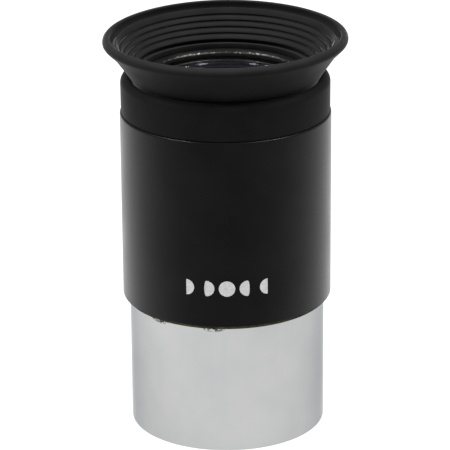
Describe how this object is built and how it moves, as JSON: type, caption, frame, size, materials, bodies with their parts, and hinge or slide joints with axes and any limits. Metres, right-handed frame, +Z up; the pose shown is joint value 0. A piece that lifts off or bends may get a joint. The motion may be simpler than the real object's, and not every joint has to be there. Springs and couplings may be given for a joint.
{
  "type": "telescope eyepiece",
  "caption": "Symmetrical doublet telescope eyepiece: chromed push-in barrel, black metal body and a flared rubber eyecup with ribbed inside.",
  "frame": {"origin": "centre of the barrel's lower rim, on the plane that the eyepiece stands on", "axes": "+Z up along the optical axis, from the telescope side to the eye side; +X to the right as seen along +Y"},
  "size_m": [0.0392, 0.0392, 0.0657],
  "materials": {
    "chromed_barrel": "satin-bright chrome plating with faint turning and sliding marks",
    "anodised_body": "satin black anodised",
    "anodised_cell": "black anodised over fine turning marks, edge of the chamfer worn brighter",
    "blackened_metal": "matt black inside parts",
    "crown_glass": "polished, anti-reflection coated",
    "flint_glass": "polished, anti-reflection coated, violet-blue residual reflection",
    "eyecup_rubber": "matt black moulded rubber"
  },
  "bodies": {
    "eyepiece": {"barrel": "chromed_barrel", "field_stop": "blackened_metal", "field_stop_retaining_ring": "blackened_metal", "body_tube": "anodised_body", "lens_cell": "anodised_cell", "eye_lens_flint": "flint_glass", "eye_lens_crown": "crown_glass", "lens_spacer": "blackened_metal", "field_lens_crown": "crown_glass", "field_lens_flint": "flint_glass", "lens_retaining_ring": "blackened_metal", "eyecup_base": "eyecup_rubber"},
    "eyecup_flare": {"eyecup_flare": "eyecup_rubber"}
  },
  "joints": [
    {"name": "eyecup_press", "type": "slide", "parent": "eyepiece", "child": "eyecup_flare", "axis": [0, 0, 1], "range_m": [-0.0038, 0], "stiffness_N_per_m": 600, "deforming": ["eyecup_flare"]}
  ]
}
